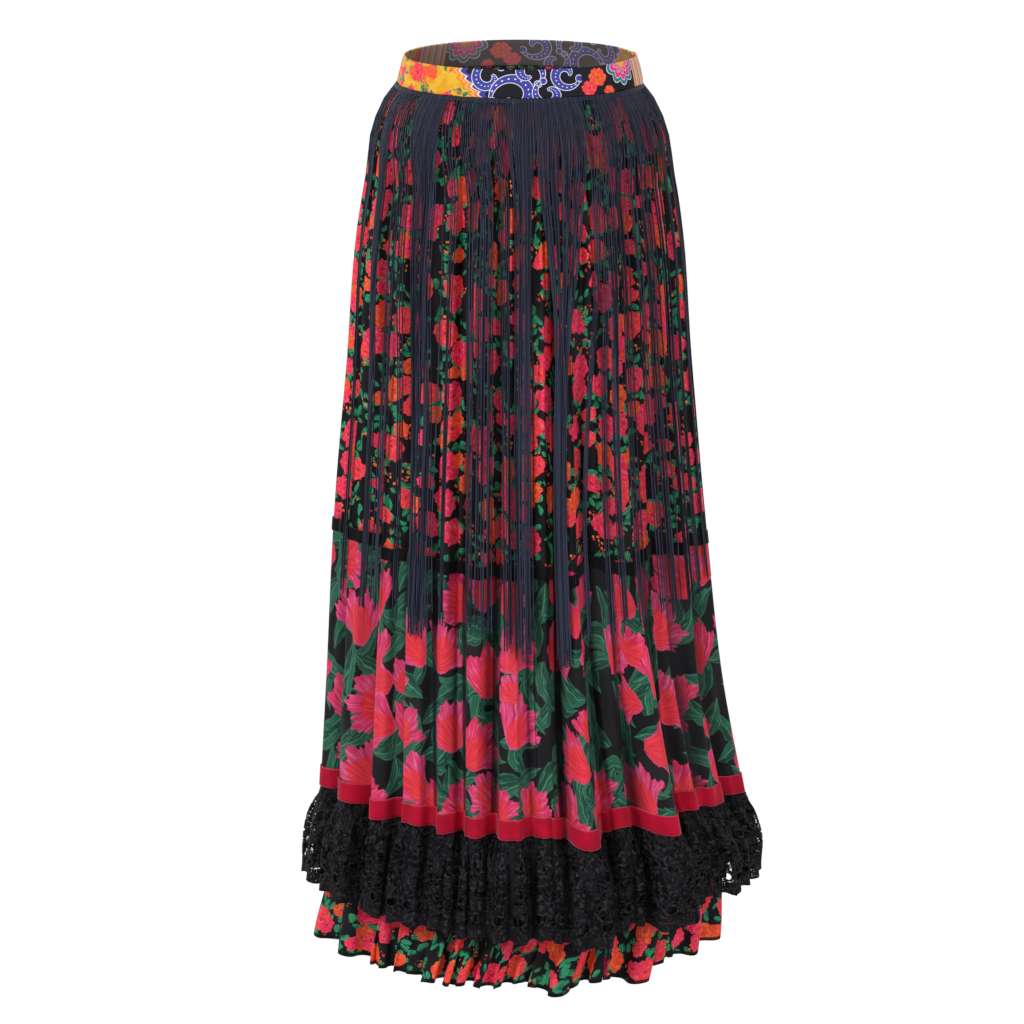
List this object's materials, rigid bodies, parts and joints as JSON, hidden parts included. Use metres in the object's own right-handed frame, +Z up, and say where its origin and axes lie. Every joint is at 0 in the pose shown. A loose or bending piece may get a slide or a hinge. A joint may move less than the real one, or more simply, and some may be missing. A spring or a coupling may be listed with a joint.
{
  "type": "tiered maxi skirt",
  "caption": "Long tiered skirt with a shaped waistband, fringed gathered upper tier, ribbon-trimmed full tiers, a gathered lace flounce and a fluted hem, hollow as worn.",
  "frame": {"origin": "centre of the waistband, halfway up it, where the wearer's waist holds the skirt", "axes": "+Z up along the wearer, the front faces -Y, +X towards the wearer's left"},
  "size_m": [0.4889, 0.4458, 0.9662],
  "materials": {
    "scarf_print": "smooth printed cotton in gold, coral and indigo",
    "fringe_cord": "soft satin cords",
    "rose_print": "matt printed crepe, roses on black",
    "black_velvet": "velvet pile",
    "tulip_print": "thin printed chiffon, large flowers on black",
    "red_velvet": "velvet pile",
    "black_lace": "corded lace on net",
    "black_lining": "plain matt weave"
  },
  "bodies": {
    "root": {"waistband_front": "scarf_print", "waistband_back": "scarf_print", "fringe": "fringe_cord", "upper_tier_front": "rose_print", "upper_tier_back": "rose_print", "velvet_ribbon": "black_velvet", "middle_tier_front": "tulip_print", "middle_tier_back": "tulip_print", "red_ribbon": "red_velvet", "lace_flounce_front": "black_lace", "lace_flounce_back": "black_lace", "flounce_lining_front": "black_lining", "flounce_lining_back": "black_lining", "bottom_tier_front": "rose_print", "bottom_tier_back": "rose_print"}
  },
  "joints": []
}
